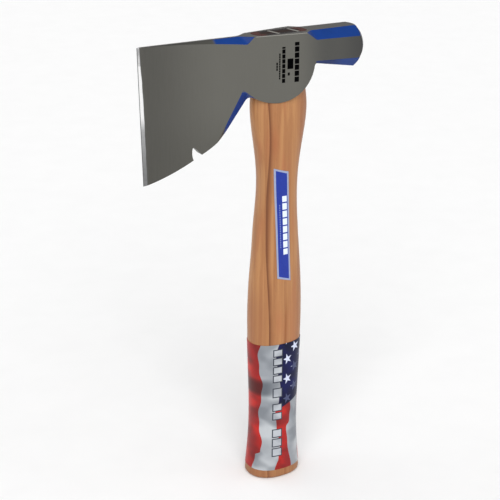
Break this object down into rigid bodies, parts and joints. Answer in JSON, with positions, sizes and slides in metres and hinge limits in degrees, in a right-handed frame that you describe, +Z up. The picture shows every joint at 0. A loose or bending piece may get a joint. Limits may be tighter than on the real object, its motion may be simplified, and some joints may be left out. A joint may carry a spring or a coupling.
{
  "type": "roofing hatchet",
  "caption": "Hickory-handled roofing hatchet with a flat-topped blade, nail-pulling notch and octagonal striking poll.",
  "frame": {"origin": "centre of the handle's flat butt", "axes": "+Z up the handle to the head, +X to the striking poll and -X to the cutting edge, +Y through the thickness; the head is the same on both sides of the XZ plane"},
  "size_m": [0.1673, 0.0328, 0.3302],
  "materials": {
    "head_steel": "satin ground, blue paint in the forged hollows",
    "handle_wood": "lacquered hickory",
    "wedge_wood": "dark stained end grain",
    "wedge_steel": "ground flush",
    "grip_wrap": "printed film",
    "label": "printed film"
  },
  "bodies": {
    "root": {"head": "head_steel", "handle": "handle_wood", "wood_wedge": "wedge_wood", "steel_wedge_rear": "wedge_steel", "steel_wedge_front": "wedge_steel", "grip_wrap": "grip_wrap", "handle_label": "label"}
  },
  "joints": []
}
